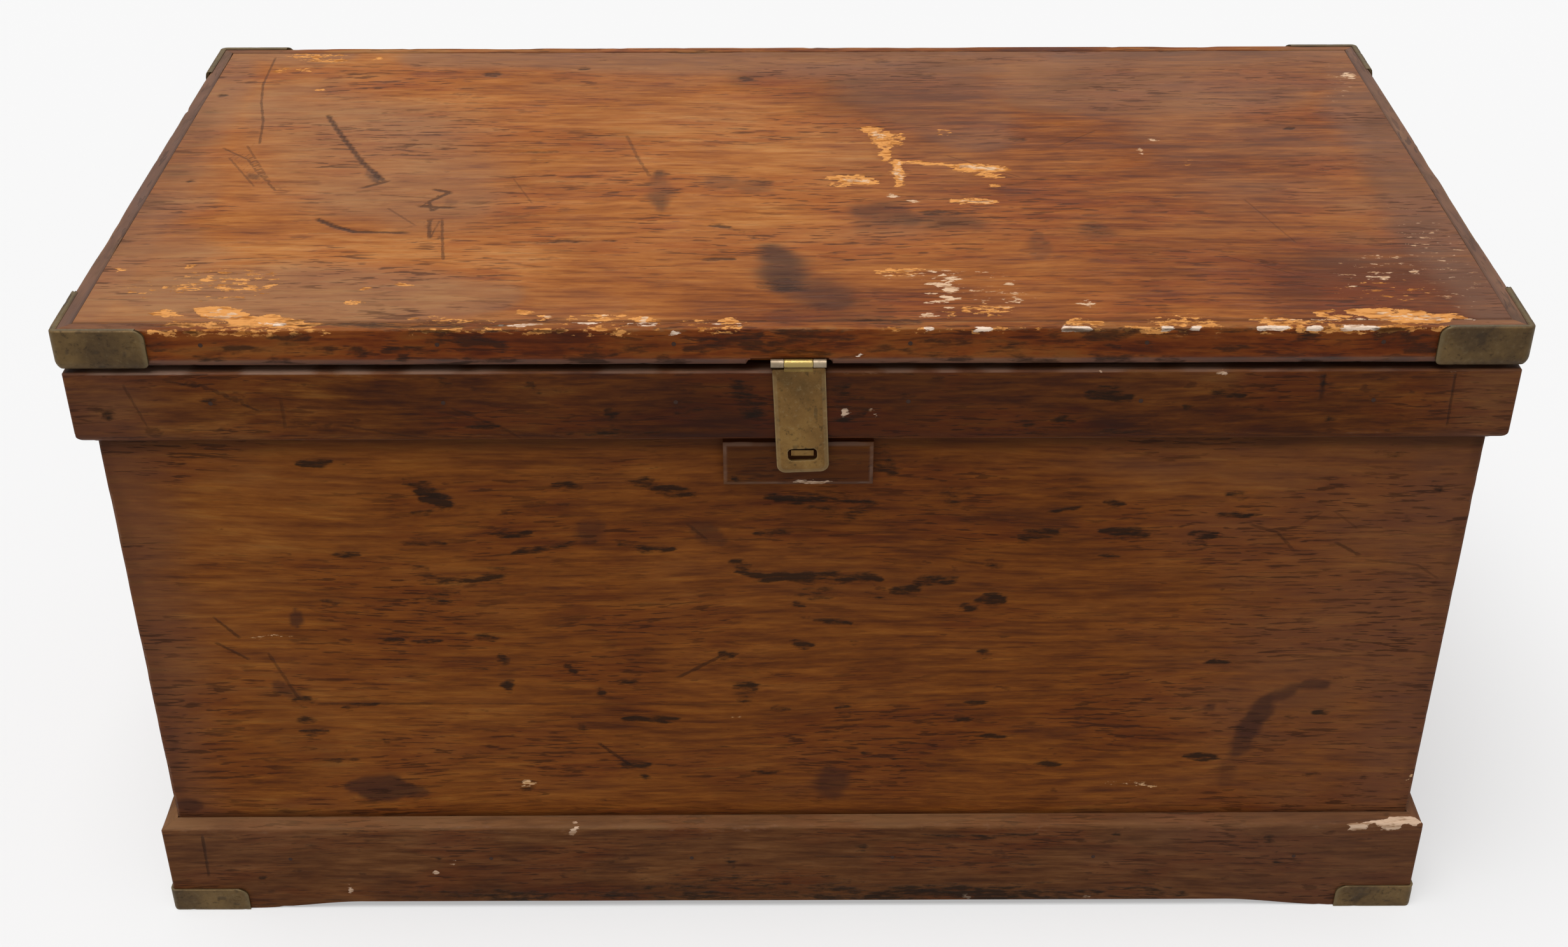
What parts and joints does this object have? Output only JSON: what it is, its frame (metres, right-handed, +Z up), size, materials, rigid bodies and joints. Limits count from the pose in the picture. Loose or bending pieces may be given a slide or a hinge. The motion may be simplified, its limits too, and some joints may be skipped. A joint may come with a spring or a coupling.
{
  "type": "sea chest",
  "caption": "Low rectangular wooden chest with a flat hinged lid, moulded band and plinth, metal corner straps, front hasp and drop handles on its ends.",
  "frame": {"origin": "bottom centre of the whole chest, on the floor", "axes": "+X to the chest's right-hand end as seen from the front, +Y to the hinges at the back, +Z up"},
  "size_m": [0.965, 0.5166, 0.513],
  "materials": {
    "lid_pine": "worn and weathered",
    "box_pine": "old dark finish, worn",
    "bare_pine": "unfinished",
    "brass": "dull, tarnished",
    "iron": "dark"
  },
  "bodies": {
    "chest": {"back_board": "box_pine", "band_back": "box_pine", "band_front": "box_pine", "band_left": "box_pine", "band_right": "box_pine", "bottom_board_back": "bare_pine", "bottom_board_front": "bare_pine", "bottom_board_middle": "bare_pine", "front_board": "box_pine", "handle_left_plate": "brass", "handle_right_plate": "brass", "handle_screws": "brass", "hasp_staple": "brass", "hinge_box_screws": "brass", "hinge_left_box_leaf": "brass", "hinge_left_pin": "brass", "hinge_right_box_leaf": "brass", "hinge_right_pin": "brass", "left_end_board": "box_pine", "lock_block": "box_pine", "moulding_brads": "iron", "plinth_back": "box_pine", "plinth_corner_blocks": "bare_pine", "plinth_front": "box_pine", "plinth_left": "box_pine", "plinth_right": "box_pine", "right_end_board": "box_pine", "shoe_back_left": "brass", "shoe_back_right": "brass", "shoe_front_left": "brass", "shoe_front_right": "brass", "shoe_screws": "brass"},
    "lid": {"batten_screws": "brass", "hasp_leaf_screws": "brass", "hasp_lid_leaf": "brass", "hasp_pin": "brass", "hinge_left_lid_leaf": "brass", "hinge_lid_screws": "brass", "hinge_right_lid_leaf": "brass", "lid_batten_left": "bare_pine", "lid_batten_right": "bare_pine", "lid_board": "lid_pine", "lid_corner_back_left": "brass", "lid_corner_back_right": "brass", "lid_corner_front_left": "brass", "lid_corner_front_right": "brass", "lid_corner_screws": "brass", "lid_strip_back": "lid_pine", "lid_strip_brads": "iron", "lid_strip_front": "lid_pine", "lid_strip_left": "lid_pine", "lid_strip_right": "lid_pine"},
    "hasp": {"hasp_plate": "brass"},
    "handle_left": {"handle_left_bail": "brass"},
    "handle_right": {"handle_right_bail": "brass"}
  },
  "joints": [
    {"name": "lid_hinge", "type": "hinge", "parent": "chest", "child": "lid", "pos_m": [0, 0.24969, 0.4819], "axis": [-1, 0, 0], "range_deg": [0, 97]},
    {"name": "hasp_swing", "type": "hinge", "parent": "lid", "child": "hasp", "pos_m": [0.0042, -0.25541, 0.4885], "axis": [-1, 0, 0], "range_deg": [0, 188]},
    {"name": "handle_left_swing", "type": "hinge", "parent": "chest", "child": "handle_left", "pos_m": [-0.47565, -0.00321, 0.3], "axis": [0, 1, 0], "range_deg": [0, 180]},
    {"name": "handle_right_swing", "type": "hinge", "parent": "chest", "child": "handle_right", "pos_m": [0.47565, -0.00321, 0.3], "axis": [0, -1, 0], "range_deg": [0, 180]}
  ]
}
